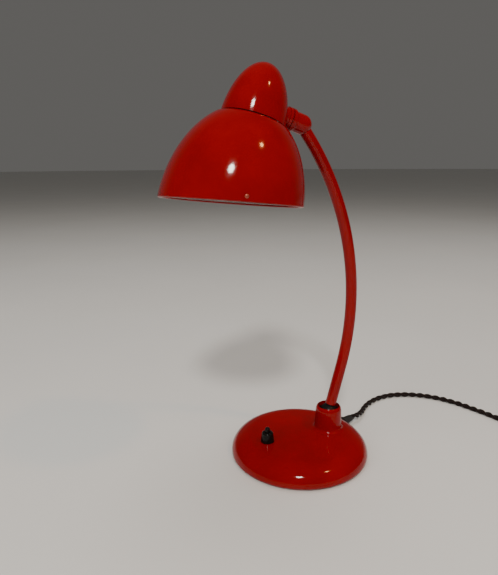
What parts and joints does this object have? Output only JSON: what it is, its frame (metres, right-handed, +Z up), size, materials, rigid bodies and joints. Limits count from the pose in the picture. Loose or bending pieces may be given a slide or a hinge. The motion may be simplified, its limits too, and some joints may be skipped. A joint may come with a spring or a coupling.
{
  "type": "architect desk lamp",
  "caption": "Enamelled desk lamp with a round weighted base, push switch, ball-jointed bowed arm, serrated elbow and a bell shade with an oblique rim.",
  "frame": {"origin": "centre of the underside of the round base, on the table", "axes": "+Z up; -X towards the switch and the lamp head; +X towards the arm joint; +Y completes a right-handed frame, with the cord leaving between +X and +Y"},
  "size_m": [0.5575, 0.2135, 0.4301],
  "materials": {
    "red_enamel": "gloss stoved enamel",
    "black_enamel": "satin black",
    "black_bakelite": "moulded, gloss",
    "white_ceramic": "matt",
    "steel": "zinc plated",
    "spring_steel": "bright",
    "brass": "satin",
    "ballast_iron": "as cast",
    "foot_felt": "pressed felt",
    "rubber": "matt",
    "cord_cloth": "twisted, braided cover",
    "lead_sheath": "matt",
    "bulb_glass": "opal",
    "rivet_metal": "tarnished"
  },
  "bodies": {
    "base": {"base_shell": "red_enamel", "ballast": "ballast_iron", "bottom_plate": "steel", "foot_pad": "foot_felt", "base_screws": "steel", "terminal_block": "white_ceramic", "base_leads": "lead_sheath", "switch_body": "black_bakelite", "switch_ferrule": "black_bakelite", "switch_spring": "spring_steel", "cord_relief": "rubber", "mains_cord": "cord_cloth", "cord_coil": "cord_cloth", "cord_tie": "rubber", "plug_body": "black_bakelite", "plug_pins": "brass"},
    "button": {"switch_button": "black_bakelite"},
    "swivel": {"swivel_cup": "black_enamel", "swivel_washer": "steel", "swivel_nut": "steel"},
    "arm": {"arm_ball": "black_enamel", "trunnion_pins": "steel", "arm_tube": "red_enamel", "arm_lead": "lead_sheath", "knuckle": "red_enamel", "knuckle_screw": "steel", "arm_rosette": "red_enamel", "pivot_bolt": "steel", "spring_washer": "spring_steel", "pivot_nut": "steel"},
    "head": {"head_rosette": "red_enamel", "cap_housing": "red_enamel", "mount_plate": "steel", "mount_screws": "steel", "shade": "red_enamel", "shade_rivet": "rivet_metal", "lamp_holder": "black_bakelite", "holder_sleeve": "brass", "holder_ring": "black_bakelite", "bulb_cap": "brass", "bulb_glass": "bulb_glass", "head_lead": "lead_sheath"}
  },
  "joints": [
    {"name": "button_press", "type": "slide", "parent": "base", "child": "button", "axis": [0, 0, -1], "range_m": [0, 0.0025], "stiffness_N_per_m": 400, "springref_m": -0.0005, "deforming": ["switch_spring"]},
    {"name": "arm_swivel", "type": "hinge", "parent": "base", "child": "swivel", "pos_m": [0.0394, 0, 0.043], "axis": [0, 0, 1], "range_deg": [-120, 120]},
    {"name": "arm_tilt", "type": "hinge", "parent": "swivel", "child": "arm", "pos_m": [0.0394, 0, 0.043], "axis": [0, 1, 0], "range_deg": [-35, 12]},
    {"name": "head_turn", "type": "hinge", "parent": "arm", "child": "head", "pos_m": [-0.0543, 0, 0.3893], "axis": [0.9511, 0, -0.309], "range_deg": [-86, 94]}
  ]
}
